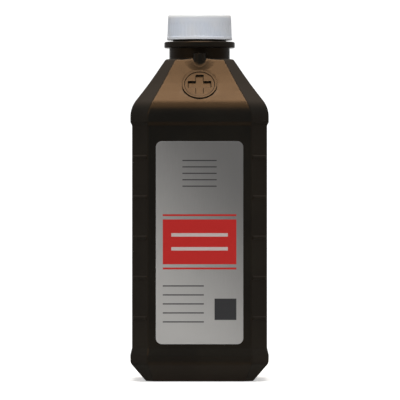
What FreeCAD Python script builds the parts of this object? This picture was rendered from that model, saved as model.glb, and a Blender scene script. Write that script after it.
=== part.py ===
"""A square half-litre solution bottle with a screw cap, its liner, its foil seal and its front label.

All sizes are in millimetres. The bottle stands on the plane z = 0, centred on the Z axis, and its front
faces -Y. The moulded form is the common part of four long prisms, two across the sides and two across
the corners, so that one outline gives the sides and one the cut corners. The same two outlines, moved in
by the wall, give the inside.
"""

import FreeCAD, Part
import math
import os
import Sketcher

# Alias, value and meaning of each driving size.
SIZES = (
    ("body_width", 64.9, "across the beads, side to side and front to back"),
    ("body_height", 128.4, "from the table to the line where the shoulder starts"),
    ("corner_cut", 8.0, "leg of the flat that cuts each upright corner"),
    ("wall", 1.05, "thickness of the moulded wall"),
    ("bevel_run", 7.6, "how far the base bevel reaches in"),
    ("bevel_rise", 8.8, "height of the base bevel"),
    ("base_round", 0.8, "rounding of the standing edge"),
    ("heel_round", 5.0, "rounding from the base bevel into the side"),
    ("panel_sink", 0.8, "depth of the label panel below the beads"),
    ("panel_foot", 14.1, "height of the label panel's lower edge"),
    ("bead_ramp", 1.3, "height of the slope between a bead and the label panel"),
    ("bead_round", 1.9, "rounding at both ends of that slope"),
    ("bead_flat", 0.97, "straight height of the upper bead where its roundings leave the least"),
    ("edge_round", 1.5, "rounding of the upright edges"),
    ("shoulder_height", 23.1, "from the shoulder line up to the flat crown"),
    ("shoulder_round", 12.5, "rounding from the side into the shoulder"),
    ("shoulder_sink", 0.57, "how far the middle of the shoulder lies inside a straight slope"),
    ("shoulder_sweep", 150.0, "radius of that hollow"),
    ("corner_drop", 0.6, "how much lower the shoulder starts on the cut corners"),
    ("crown_ledge", 1.55, "flat ledge of the crown beside the neck"),
    ("crown_cut", 4.7, "leg of the corner flats where they reach the crown"),
    ("crown_round", 1.9, "rounding of the crown's edge"),
    ("push_width", 40.0, "diameter of the hollow under the base"),
    ("push_slope", 4.0, "how far its sloping side reaches in"),
    ("push_rise", 2.4, "height of that hollow"),
    ("push_round", 3.0, "rounding at its top"),
    ("rib_count", 5, "cross ribs on each cut corner"),
    ("rib_pitch", 18.85, "height from one cross rib to the next"),
    ("rib_radius", 1.2, "radius of the bar that makes a cross rib"),
    ("rib_proud", 0.5, "how far a cross rib stands out"),
    ("rib_inset", 0.5, "from a cross rib's end to the edge of its flat"),
    ("boss_width", 16.3, "diameter of the round boss on the front shoulder"),
    ("boss_proud", 0.6, "how far its rim stands out"),
    ("boss_rim", 0.9, "width of its rim"),
    ("boss_sink", 0.3, "depth of its field below the rim"),
    ("boss_place", 12.5, "height of its centre below the crown"),
    ("neck_height", 5.4, "from the crown to the support ring"),
    ("neck_step", 1.75, "how much wider than the finish the neck is, on each side"),
    ("ring_overhang", 2.4, "how far the support ring stands out of the neck"),
    ("ring_thick", 3.0, "thickness of the support ring"),
    ("ring_round", 0.7, "rounding of the ring's edges"),
    ("lug_radius", 2.9, "radius of the upright lug at the front of the neck"),
    ("lug_proud", 1.15, "from the neck's surface out to the lug's axis"),
    ("lug_height", 2.4, "top of the lug above the crown"),
    ("lug_round", 1.6, "rounding of the lug's top"),
    ("finish_width", 25.2, "diameter of the neck finish without its thread"),
    ("finish_height", 10.5, "from the support ring to the lip"),
    ("lip_bevel", 0.3, "bevel of the lip's outer edge"),
    ("mouth_wall", 1.6, "wall of the neck finish"),
    ("thread_depth", 1.1, "room for the thread between finish and cap"),
    ("thread_play", 0.25, "clearance between the thread and the cap"),
    ("seal_thick", 0.15, "thickness of the foil seal"),
    ("seal_overhang", 0.5, "how far the foil seal reaches past the lip"),
    ("liner_thick", 0.95, "thickness of the cap liner"),
    ("liner_play", 0.3, "clearance round the cap liner"),
    ("cap_top", 1.35, "thickness of the cap's top"),
    ("cap_wall", 1.0, "wall of the cap's skirt under its top"),
    ("cap_draft", 0.35, "how much wider the skirt is at its lower end, on each side"),
    ("cap_round", 1.2, "rounding of the cap's upper edge"),
    ("cap_lift", 1.15, "gap between the support ring and the cap"),
    ("rim_proud", 0.2, "how far the cap's lower rim stands out of the skirt"),
    ("rim_height", 1.3, "height of that rim"),
    ("rim_round", 0.25, "rounding of the rim's lower edge"),
    ("flute_count", 48, "upright flutes round the skirt"),
    ("flute_depth", 0.3, "depth of a flute at the skirt's lower end"),
    ("flute_width", 0.9, "width of a flute at the skirt's lower end"),
    ("flute_drop", 4.2, "plain band above the flutes"),
    ("label_thick", 0.12, "thickness of the label"),
    ("label_side", 3.3, "from the label's side to the edge of the front panel"),
    ("label_foot", 3.6, "from the panel's lower edge up to the label"),
    ("label_head", 8.2, "from the label up to the panel's upper edge"),
    ("label_round", 2.8, "rounding of the label's corners"),
)

# Lengths worked out from the driving sizes, written as expressions of the sheet.
HALF = "(Sizes.body_width / 2)"
CORNER = "((Sizes.body_width - Sizes.corner_cut) / sqrt(2))"
PANEL = f"({HALF} - Sizes.panel_sink)"
PANEL_CORNER = f"({CORNER} - Sizes.panel_sink)"
PANEL_FLAT = f"({PANEL_CORNER} * sqrt(2) - {PANEL})"
CROWN_Z = "(Sizes.body_height + Sizes.shoulder_height)"
FINISH = "(Sizes.finish_width / 2)"
BORE = f"({FINISH} - Sizes.mouth_wall)"
NECK = f"({FINISH} + Sizes.neck_step)"
CROWN_HALF = f"({NECK} + Sizes.crown_ledge)"
CROWN_CORNER = f"((2 * {CROWN_HALF} - Sizes.crown_cut) / sqrt(2))"
SIDE_SHOULDER = "Sizes.body_height"
CORNER_SHOULDER = "(Sizes.body_height - Sizes.corner_drop)"
SIDE_RUN = f"({HALF} - {CROWN_HALF} + 2 * Sizes.shoulder_sink)"
CORNER_RUN = f"({CORNER} - {CROWN_CORNER} + 2 * Sizes.shoulder_sink)"
SIDE_LEAN = f"atan({SIDE_RUN} / ({CROWN_Z} - {SIDE_SHOULDER}))"
CORNER_LEAN = f"atan({CORNER_RUN} / ({CROWN_Z} - {CORNER_SHOULDER}))"
SIDE_TURN = f"({SIDE_SHOULDER} - Sizes.shoulder_round * tan({SIDE_LEAN} / 2))"
CORNER_TURN = f"({CORNER_SHOULDER} - Sizes.shoulder_round * tan({CORNER_LEAN} / 2))"
BEAD_TURN = "(Sizes.bead_round * tan(atan(Sizes.panel_sink / Sizes.bead_ramp) / 2))"
BEAD_FOOT = f"(min({SIDE_TURN}; {CORNER_TURN}) - Sizes.bead_flat - {BEAD_TURN})"
PANEL_TOP = f"({BEAD_FOOT} - Sizes.bead_ramp / 2)"
RING = f"({NECK} + Sizes.ring_overhang)"
RING_Z = f"({CROWN_Z} + Sizes.neck_height)"
RING_TOP = f"({RING_Z} + Sizes.ring_thick)"
LIP_Z = f"({RING_TOP} + Sizes.finish_height)"
LINER_Z = f"({LIP_Z} + Sizes.seal_thick)"
CEILING_Z = f"({LINER_Z} + Sizes.liner_thick)"
CAP_Z = f"({RING_TOP} + Sizes.cap_lift)"
CAP_TOP_Z = f"({CEILING_Z} + Sizes.cap_top)"
CAP_BORE = f"({FINISH} + Sizes.thread_depth + Sizes.thread_play)"
SKIRT = f"({CAP_BORE} + Sizes.cap_wall + Sizes.cap_draft)"

# Points nearer to each other than this are the same point.
SAME_POINT = 1e-6

doc = FreeCAD.newDocument("SolutionBottle")


def fill_sheet():
    """Write the driving sizes into the sheet, one row each."""
    sheet = doc.addObject("Spreadsheet::Sheet", "Sizes")
    for row, (alias, size, meaning) in enumerate(SIZES, start=1):
        sheet.set(f"A{row}", alias)
        sheet.set(f"B{row}", str(size))
        sheet.setAlias(f"B{row}", alias)
        sheet.set(f"C{row}", meaning)
    doc.recompute()
    return sheet


sheet = fill_sheet()


def size_of(expression):
    """Return the length that an expression of the sheet has now."""
    return float(sheet.evalExpression(expression))


def bind(target, **expressions):
    """Bind properties of an object to expressions of the sheet."""
    for name, expression in expressions.items():
        target.setExpression(name, expression)


def constrain(sketch, expression, *constraint):
    """Add a sketch constraint and bind its value to an expression of the sheet."""
    index = sketch.addConstraint(Sketcher.Constraint(*constraint, size_of(expression)))
    sketch.setExpression(f"Constraints[{index}]", expression)


def plane_of(body, role):
    """Return one of a body's own origin planes or axes."""
    return next(item for item in body.Origin.OriginFeatures if item.Role == role)


def body_sketch(body, name, role):
    """Make a sketch on one of the body's own origin planes."""
    sketch = body.newObject("Sketcher::SketchObject", name)
    sketch.AttachmentSupport = [(plane_of(body, role), "")]
    sketch.MapMode = "FlatFace"
    return sketch


def draw_outline(sketch, corners):
    """Draw a closed outline through corners and bind it to the sheet.

    Each corner is an x expression, a y expression and a rounding expression, or None for a sharp corner.
    """
    points = [FreeCAD.Vector(size_of(x), size_of(y), 0) for x, y, _ in corners]
    arrivals = []
    middles = []
    departures = []
    for index, (_, _, rounding) in enumerate(corners):
        point = points[index]
        back = (points[index - 1] - point).normalize()
        ahead = (points[(index + 1) % len(points)] - point).normalize()
        radius = size_of(rounding) if rounding else 0.0
        half_angle = back.getAngle(ahead) / 2
        trim = radius / math.tan(half_angle)
        inward = (back + ahead).normalize() if rounding else FreeCAD.Vector()
        arrivals.append(point + back * trim)
        middles.append(point + inward * (radius / math.sin(half_angle) - radius))
        departures.append(point + ahead * trim)
    lines = []
    for index, departure in enumerate(departures):
        arrival = arrivals[(index + 1) % len(points)]
        lines.append(sketch.addGeometry(Part.LineSegment(departure, arrival), False))
    for index, (x, y, rounding) in enumerate(corners):
        before = lines[index - 1]
        after = lines[index]
        if rounding:
            arc = sketch.addGeometry(Part.Arc(arrivals[index], middles[index], departures[index]), False)
            forward = (sketch.getPoint(arc, 1) - arrivals[index]).Length < SAME_POINT
            first, last = (1, 2) if forward else (2, 1)
            sketch.addConstraint(Sketcher.Constraint("Tangent", before, 2, arc, first))
            sketch.addConstraint(Sketcher.Constraint("Tangent", arc, last, after, 1))
            constrain(sketch, rounding, "Radius", arc)
            corner = sketch.addGeometry(Part.Point(points[index]), True)
            sketch.addConstraint(Sketcher.Constraint("PointOnObject", corner, 1, before))
            sketch.addConstraint(Sketcher.Constraint("PointOnObject", corner, 1, after))
        else:
            corner = after
            sketch.addConstraint(Sketcher.Constraint("Coincident", before, 2, after, 1))
        constrain(sketch, x, "DistanceX", -1, 1, corner, 1)
        constrain(sketch, y, "DistanceY", -1, 1, corner, 1)


def revolve(body, name, corners, kind="PartDesign::Revolution"):
    """Turn an outline of the XZ plane about the Z axis."""
    sketch = body_sketch(body, f"{name}Outline", "XZ_Plane")
    draw_outline(sketch, corners)
    feature = body.newObject(kind, name)
    feature.Profile = sketch
    feature.ReferenceAxis = (sketch, ["V_Axis"])
    feature.Angle = 360
    return feature


def mould_outline(name, half, crown, shoulder):
    """Draw one upright outline of the moulded form, from the table to the crown and down again."""
    panel = f"({half} - Sizes.panel_sink)"
    waist = f"({half} + {crown}) / 2 - Sizes.shoulder_sink"
    ramp = "Sizes.bead_ramp / 2"
    right = [
        (f"{half} - Sizes.bevel_run", "0", "Sizes.base_round"),
        (half, "Sizes.bevel_rise", "Sizes.heel_round"),
        (half, f"Sizes.panel_foot - {ramp}", "Sizes.bead_round"),
        (panel, f"Sizes.panel_foot + {ramp}", "Sizes.bead_round"),
        (panel, f"{PANEL_TOP} - {ramp}", "Sizes.bead_round"),
        (half, BEAD_FOOT, "Sizes.bead_round"),
        (half, shoulder, "Sizes.shoulder_round"),
        (waist, f"({shoulder} + {CROWN_Z}) / 2", "Sizes.shoulder_sweep"),
        (crown, CROWN_Z, "Sizes.crown_round"),
    ]
    left = [(f"-({x})", z, rounding) for x, z, rounding in reversed(right)]
    sketch = doc.addObject("Sketcher::SketchObject", name)
    sketch.Placement = FreeCAD.Placement(FreeCAD.Vector(), FreeCAD.Rotation(FreeCAD.Vector(1, 0, 0), 90))
    draw_outline(sketch, right + left)
    return sketch


def common_form(name, outlines):
    """Return the common part of the prisms that stand on each outline, turned to its two angles."""
    prisms = []
    upright = FreeCAD.Vector(0, 0, 1)
    for outline, angles in outlines:
        for angle in angles:
            prism = doc.addObject("Part::Extrusion", f"{name}Prism{angle}")
            prism.Base = outline
            prism.DirMode = "Normal"
            prism.Solid = True
            prism.Symmetric = True
            bind(prism, LengthFwd="2 * Sizes.body_width")
            prism.Placement = FreeCAD.Placement(FreeCAD.Vector(), FreeCAD.Rotation(upright, angle))
            prisms.append(prism)
    form = doc.addObject("Part::MultiCommon", name)
    form.Shapes = prisms
    return form


def move_in(outline):
    """Return an outline moved in by the wall."""
    inner = doc.addObject("Part::Offset2D", f"{outline.Name}Inside")
    inner.Source = outline
    inner.Join = "Intersection"
    bind(inner, Value="-Sizes.wall")
    return inner


def make_forms():
    """Return the outer form of the moulding and the form of its inside, both without the neck."""
    side = mould_outline("SideOutline", HALF, CROWN_HALF, SIDE_SHOULDER)
    corner = mould_outline("CornerOutline", CORNER, CROWN_CORNER, CORNER_SHOULDER)
    outer = common_form("OuterForm", ((side, (0, 90)), (corner, (45, 135))))
    inner = common_form("InnerForm", ((move_in(side), (0, 90)), (move_in(corner), (45, 135))))
    doc.recompute()
    return outer, inner


def round_upright_edges(body, form):
    """Round the edges between the sides and the cut corners: the only ones that aren't level."""
    upright = [
        f"Edge{index}"
        for index, edge in enumerate(form.Shape.Edges, start=1)
        if edge.BoundBox.ZLength > SAME_POINT
    ]
    base = body.Tip
    fillet = body.newObject("PartDesign::Fillet", "UprightEdges")
    fillet.Base = (base, upright)
    bind(fillet, Radius="Sizes.edge_round")
    return fillet


def add_neck(body):
    """Add the neck, its support ring and the finish that takes the cap."""
    root = f"{CROWN_Z} - Sizes.crown_round"
    revolve(body, "Neck", [
        ("0", root, None),
        (NECK, root, None),
        (NECK, RING_Z, None),
        (RING, RING_Z, "Sizes.ring_round"),
        (RING, RING_TOP, "Sizes.ring_round"),
        (FINISH, RING_TOP, None),
        (FINISH, f"{LIP_Z} - Sizes.lip_bevel", None),
        (f"{FINISH} - Sizes.lip_bevel", LIP_Z, None),
        ("0", LIP_Z, None),
    ])


def add_lug(body):
    """Add the upright lug at the front of the neck: a round post that the shoulder swallows."""
    axis_place = f"{NECK} + Sizes.lug_proud"
    foot = "Sizes.body_height"
    top = f"{CROWN_Z} + Sizes.lug_height"
    lug = revolve(body, "Lug", [
        ("0", foot, None),
        ("Sizes.lug_radius", foot, None),
        ("Sizes.lug_radius", top, "Sizes.lug_round"),
        ("0", top, None),
    ])
    lug.Profile[0].setExpression("AttachmentOffset.Base.z", axis_place)


def boss_sketch(body, name, radius, lift):
    """Make a sketch with a circle round the boss's centre, lifted off the front slope of the shoulder."""
    slope = f"(Sizes.shoulder_height / ({HALF} - {CROWN_HALF}))"
    reach = f"({CROWN_HALF} + Sizes.boss_place / {slope} - Sizes.shoulder_sink)"
    level = f"({CROWN_Z} - Sizes.boss_place)"
    sketch = body_sketch(body, name, "XY_Plane")
    tilt = FreeCAD.Rotation(FreeCAD.Vector(1, 0, 0), 45)
    sketch.AttachmentOffset = FreeCAD.Placement(FreeCAD.Vector(), tilt)
    sketch.setExpression("AttachmentOffset.Rotation.Angle", f"atan({slope})")
    sketch.setExpression("AttachmentOffset.Base.y", f"-{reach} - {lift} * sin(atan({slope}))")
    sketch.setExpression("AttachmentOffset.Base.z", f"{level} + {lift} * cos(atan({slope}))")
    circle = sketch.addGeometry(Part.Circle(FreeCAD.Vector(), FreeCAD.Vector(0, 0, 1), 1), False)
    sketch.addConstraint(Sketcher.Constraint("Coincident", circle, 3, -1, 1))
    constrain(sketch, radius, "Radius", circle)
    return sketch


def add_boss(body):
    """Add the round boss on the front slope of the shoulder: a low disc whose field lies below its rim."""
    disc = body.newObject("PartDesign::Pad", "Boss")
    disc.Profile = boss_sketch(body, "BossOutline", "Sizes.boss_width / 2", "0")
    disc.SideType = "Two sides"
    bind(disc, Length="Sizes.boss_proud", Length2="Sizes.wall / 2")
    doc.recompute()
    field_radius = "Sizes.boss_width / 2 - Sizes.boss_rim"
    field = body.newObject("PartDesign::Pocket", "BossField")
    field.Profile = boss_sketch(body, "FieldOutline", field_radius, "Sizes.boss_proud")
    bind(field, Length="Sizes.boss_sink")


def add_ribs(body):
    """Add the cross ribs on the four cut corners: round bars with tapered ends, sunk in the flats."""
    level = f"(Sizes.panel_foot + {PANEL_TOP}) / 2"
    span = "Sizes.rib_pitch * (Sizes.rib_count - 1)"
    axis_place = f"({PANEL_CORNER} - Sizes.rib_radius + Sizes.rib_proud)"
    reach = f"(({PANEL} - {PANEL_FLAT}) / sqrt(2) - Sizes.rib_inset)"
    sketch = body_sketch(body, "RibOutline", "XY_Plane")
    turn = FreeCAD.Rotation(FreeCAD.Vector(0, 0, 1), 45)
    sketch.AttachmentOffset = FreeCAD.Placement(FreeCAD.Vector(), turn)
    sketch.setExpression("AttachmentOffset.Base.x", f"{axis_place} / sqrt(2)")
    sketch.setExpression("AttachmentOffset.Base.y", f"{axis_place} / sqrt(2)")
    sketch.setExpression("AttachmentOffset.Base.z", f"{level} - {span} / 2")
    draw_outline(sketch, [
        ("0", f"-{reach}", None),
        ("Sizes.rib_radius - Sizes.rib_proud", f"-{reach}", None),
        ("Sizes.rib_radius", f"-{reach} + Sizes.rib_proud", None),
        ("Sizes.rib_radius", f"{reach} - Sizes.rib_proud", None),
        ("Sizes.rib_radius - Sizes.rib_proud", reach, None),
        ("0", reach, None),
    ])
    rib = body.newObject("PartDesign::Revolution", "Rib")
    rib.Profile = sketch
    rib.ReferenceAxis = (sketch, ["V_Axis"])
    rib.Angle = 360
    doc.recompute()
    ribs = body.newObject("PartDesign::MultiTransform", "Ribs")
    rows = body.newObject("PartDesign::LinearPattern", "RibRows")
    rows.Direction = (plane_of(body, "Z_Axis"), [""])
    bind(rows, Length=span, Occurrences="Sizes.rib_count")
    turns = body.newObject("PartDesign::PolarPattern", "RibCorners")
    turns.Axis = (plane_of(body, "Z_Axis"), [""])
    turns.Angle = 360
    turns.Occurrences = 4
    ribs.Originals = [rib]
    ribs.Transformations = [rows, turns]
    body.Tip = ribs


def hollow_corners(grown):
    """Return the outline of the hollow under the base, grown by an expression."""
    foot = f"Sizes.push_width / 2 + {grown}"
    rise = f"Sizes.push_rise + {grown}"
    return [
        ("0", "0", None),
        (foot, "0", None),
        (f"{foot} - Sizes.push_slope", rise, "Sizes.push_round"),
        ("0", rise, None),
    ]


def make_inside(form):
    """Return the whole inside: the form's inside over the raised floor, and the way out through the neck."""
    floor = doc.addObject("PartDesign::Body", "Floor")
    revolve(floor, "RaisedFloor", hollow_corners("Sizes.wall"))
    over_floor = doc.addObject("Part::Cut", "InsideOverFloor")
    over_floor.Base = form
    over_floor.Tool = floor
    way_out = doc.addObject("PartDesign::Body", "WayOut")
    throat = f"{NECK} - Sizes.wall"
    start = f"{CROWN_Z} - 2 * Sizes.wall"
    end = f"{LIP_Z} + Sizes.wall"
    revolve(way_out, "Throat", [
        ("0", start, None),
        (throat, start, None),
        (throat, f"{RING_Z} - Sizes.wall", None),
        (BORE, RING_TOP, None),
        (BORE, end, None),
        ("0", end, None),
    ])
    inside = doc.addObject("Part::MultiFuse", "Inside")
    inside.Shapes = [over_floor, way_out]
    return inside


def make_bottle():
    """Make the bottle: one moulded shell."""
    outer, inner = make_forms()
    body = doc.addObject("PartDesign::Body", "Moulding")
    body.BaseFeature = outer
    doc.recompute()
    round_upright_edges(body, outer)
    doc.recompute()
    add_neck(body)
    add_lug(body)
    add_boss(body)
    add_ribs(body)
    revolve(body, "BaseHollow", hollow_corners("0"), kind="PartDesign::Groove")
    bottle = doc.addObject("Part::Cut", "Bottle")
    bottle.Label = "bottle"
    bottle.Base = body
    bottle.Tool = make_inside(inner)
    return bottle


def make_seal():
    """Make the foil seal that lies on the lip."""
    seal = doc.addObject("Part::Cylinder", "FoilSeal")
    seal.Label = "foil_seal"
    bind(seal, Radius=f"{FINISH} + Sizes.seal_overhang", Height="Sizes.seal_thick")
    seal.setExpression("Placement.Base.z", LIP_Z)
    return seal


def make_liner():
    """Make the liner between the foil seal and the cap's top."""
    liner = doc.addObject("Part::Cylinder", "CapLiner")
    liner.Label = "cap_liner"
    bind(liner, Radius=f"{CAP_BORE} - Sizes.liner_play", Height="Sizes.liner_thick")
    liner.setExpression("Placement.Base.z", LINER_Z)
    return liner


def make_cap():
    """Make the cap: a drafted shell with a plain lower rim and flutes round its skirt."""
    body = doc.addObject("PartDesign::Body", "Cap")
    body.Label = "cap"
    rim = f"{SKIRT} + Sizes.rim_proud"
    rim_top = f"({CAP_Z} + Sizes.rim_height)"
    revolve(body, "Shell", [
        (CAP_BORE, CAP_Z, None),
        (rim, CAP_Z, "Sizes.rim_round"),
        (rim, rim_top, None),
        (SKIRT, rim_top, None),
        (f"{SKIRT} - Sizes.cap_draft", CAP_TOP_Z, "Sizes.cap_round"),
        ("0", CAP_TOP_Z, None),
        ("0", CEILING_Z, None),
        (CAP_BORE, CEILING_Z, None),
    ])
    doc.recompute()
    sketch = body_sketch(body, "FluteOutline", "XY_Plane")
    sketch.setExpression("AttachmentOffset.Base.z", rim_top)
    root = f"{SKIRT} - Sizes.flute_depth"
    outside = f"{SKIRT} + Sizes.flute_depth"
    draw_outline(sketch, [
        ("0", root, None),
        ("Sizes.flute_width", outside, None),
        ("-Sizes.flute_width", outside, None),
    ])
    flute = body.newObject("PartDesign::Pocket", "Flute")
    flute.Profile = sketch
    flute.Reversed = True
    bind(flute, Length=f"{CAP_TOP_Z} - Sizes.flute_drop - {rim_top}")
    doc.recompute()
    flutes = body.newObject("PartDesign::PolarPattern", "Flutes")
    flutes.Originals = [flute]
    flutes.Axis = (plane_of(body, "Z_Axis"), [""])
    flutes.Angle = 360
    bind(flutes, Occurrences="Sizes.flute_count")
    body.Tip = flutes
    return body


def make_label():
    """Make the front label, flat on the sunk front panel."""
    body = doc.addObject("PartDesign::Body", "FrontLabel")
    body.Label = "front_label"
    half = f"({PANEL_FLAT} - Sizes.label_side)"
    foot = "Sizes.panel_foot + Sizes.label_foot"
    head = f"{PANEL_TOP} - Sizes.label_head"
    sketch = body_sketch(body, "LabelOutline", "XZ_Plane")
    sketch.setExpression("AttachmentOffset.Base.z", PANEL)
    draw_outline(sketch, [
        (f"-{half}", foot, "Sizes.label_round"),
        (half, foot, "Sizes.label_round"),
        (half, head, "Sizes.label_round"),
        (f"-{half}", head, "Sizes.label_round"),
    ])
    pad = body.newObject("PartDesign::Pad", "Film")
    pad.Profile = sketch
    bind(pad, Length="Sizes.label_thick")
    return body


def check_document(nodes):
    """Stop when an object failed, or when a piece isn't one sound solid."""
    for item in doc.Objects:
        faults = [state for state in item.State if state in ("Invalid", "Error")]
        if faults:
            raise RuntimeError(f"{item.Name}: {faults}")
    for node in nodes:
        if node.Shape.isNull() or not node.Shape.isValid() or len(node.Shape.Solids) != 1:
            raise RuntimeError(f"{node.Label}: its shape isn't one valid solid")


def main():
    """Build every piece, check it and write it out."""
    nodes = [make_bottle(), make_seal(), make_liner(), make_cap(), make_label()]
    doc.recompute()
    check_document(nodes)
    os.makedirs("parts", exist_ok=True)
    for node in nodes:
        node.Shape.exportStep(f"parts/{node.Label}.step")
        print(f"{node.Label}: {node.Shape.Volume / 1000:.2f} ml of material")


main()
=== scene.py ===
"""The looks of a square, dark plastic solution bottle on a plain stage.

Its pieces are the moulded shell with a boss and a lug, the white screw cap, the cap's liner, the foil seal
and the front label. Sizes are in millimetres until a mesh is made, and then in metres, in the frame of the
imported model. The bottle stands on z = 0 round the Z axis, and its front faces -Y.
"""

import logging
import math
from collections.abc import Sequence
from dataclasses import dataclass
from enum import Enum
from functools import reduce
from typing import Any

import bpy
import numpy as np
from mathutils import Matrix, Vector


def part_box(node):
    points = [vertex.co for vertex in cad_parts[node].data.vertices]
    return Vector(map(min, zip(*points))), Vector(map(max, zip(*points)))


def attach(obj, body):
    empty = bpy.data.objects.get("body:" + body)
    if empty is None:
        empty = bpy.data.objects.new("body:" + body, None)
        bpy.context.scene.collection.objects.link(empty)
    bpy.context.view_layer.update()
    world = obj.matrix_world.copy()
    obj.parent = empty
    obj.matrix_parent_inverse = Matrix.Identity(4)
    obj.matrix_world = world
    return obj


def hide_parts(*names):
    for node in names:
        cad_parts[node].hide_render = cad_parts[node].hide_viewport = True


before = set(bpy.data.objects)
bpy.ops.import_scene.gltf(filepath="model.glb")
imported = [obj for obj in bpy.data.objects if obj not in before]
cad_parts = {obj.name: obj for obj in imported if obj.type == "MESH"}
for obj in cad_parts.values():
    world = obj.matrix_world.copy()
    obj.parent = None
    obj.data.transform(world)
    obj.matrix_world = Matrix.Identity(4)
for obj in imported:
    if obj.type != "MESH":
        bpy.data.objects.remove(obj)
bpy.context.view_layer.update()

LOG = logging.getLogger("solution_bottle")

Span = tuple[float, float]
Triple = tuple[float, float, float]
Box = tuple[float, float, float, float]
Colour = Triple
Corner = Triple

MM = 0.001
ROOT_TWO = math.sqrt(2.0)
FULL_TURN = 2.0 * math.pi
QUARTER_TURN = 0.5 * math.pi
OPAQUE = (1.0,)

# How near to a surface, in millimetres, a point counts as lying on it.
NEAR = 0.02

# Numbers of a Mix node's inputs and output when it blends colours.
MIX_SHARE = 0
MIX_FIRST = 6
MIX_SECOND = 7
MIX_RESULT = 2


class Step(Enum):
    """The sums that a shader's Math node works out."""

    ADD = "ADD"
    SUBTRACT = "SUBTRACT"
    MULTIPLY = "MULTIPLY"
    DIVIDE = "DIVIDE"
    ABSOLUTE = "ABSOLUTE"
    MAXIMUM = "MAXIMUM"
    FRACTION = "FRACT"


class Value:
    """A number that changes over a surface: a shader socket that can stand in a sum."""

    def __init__(self, sheet: "ShaderSheet", socket: bpy.types.NodeSocket) -> None:
        """Wrap a socket of a sheet's node tree."""
        self.sheet = sheet
        self.socket = socket

    def _sum(self, step: Step, first: Any, second: Any = None) -> "Value":
        """Add a Math node.

        Args:
            step: which sum it works out.
            first: its first value, a number or a Value.
            second: its second value, or None for a sum of one value.

        Returns:
            The sum's result.
        """
        inputs = {0: first} if second is None else {0: first, 1: second}
        return self.sheet.value("ShaderNodeMath", {"operation": step.value}, inputs)

    def __add__(self, other: Any) -> "Value":
        """Return this plus the other."""
        return self._sum(Step.ADD, self, other)

    def __radd__(self, other: Any) -> "Value":
        """Return the other plus this."""
        return self._sum(Step.ADD, other, self)

    def __sub__(self, other: Any) -> "Value":
        """Return this less the other."""
        return self._sum(Step.SUBTRACT, self, other)

    def __rsub__(self, other: Any) -> "Value":
        """Return the other less this."""
        return self._sum(Step.SUBTRACT, other, self)

    def __mul__(self, other: Any) -> "Value":
        """Return this times the other."""
        return self._sum(Step.MULTIPLY, self, other)

    def __rmul__(self, other: Any) -> "Value":
        """Return the other times this."""
        return self._sum(Step.MULTIPLY, other, self)

    def __truediv__(self, other: Any) -> "Value":
        """Return this divided by the other."""
        return self._sum(Step.DIVIDE, self, other)

    def __rtruediv__(self, other: Any) -> "Value":
        """Return the other divided by this."""
        return self._sum(Step.DIVIDE, other, self)

    def __abs__(self) -> "Value":
        """Return this without its sign."""
        return self._sum(Step.ABSOLUTE, self)

    def most(self, other: Any) -> "Value":
        """Return the larger of this and the other."""
        return self._sum(Step.MAXIMUM, self, other)

    def fraction(self) -> "Value":
        """Return what is left of this over its last whole number."""
        return self._sum(Step.FRACTION, self)

    def rise(self, low: float, high: float) -> "Value":
        """Return a smooth step of this.

        Args:
            low: where the step is 0; it may be over high for a falling step.
            high: where the step is 1.

        Returns:
            The step, between 0 and 1.
        """
        settings = {"interpolation_type": "SMOOTHSTEP"}
        inputs = {"Value": self, "From Min": low, "From Max": high}
        return self.sheet.value("ShaderNodeMapRange", settings, inputs)


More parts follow.
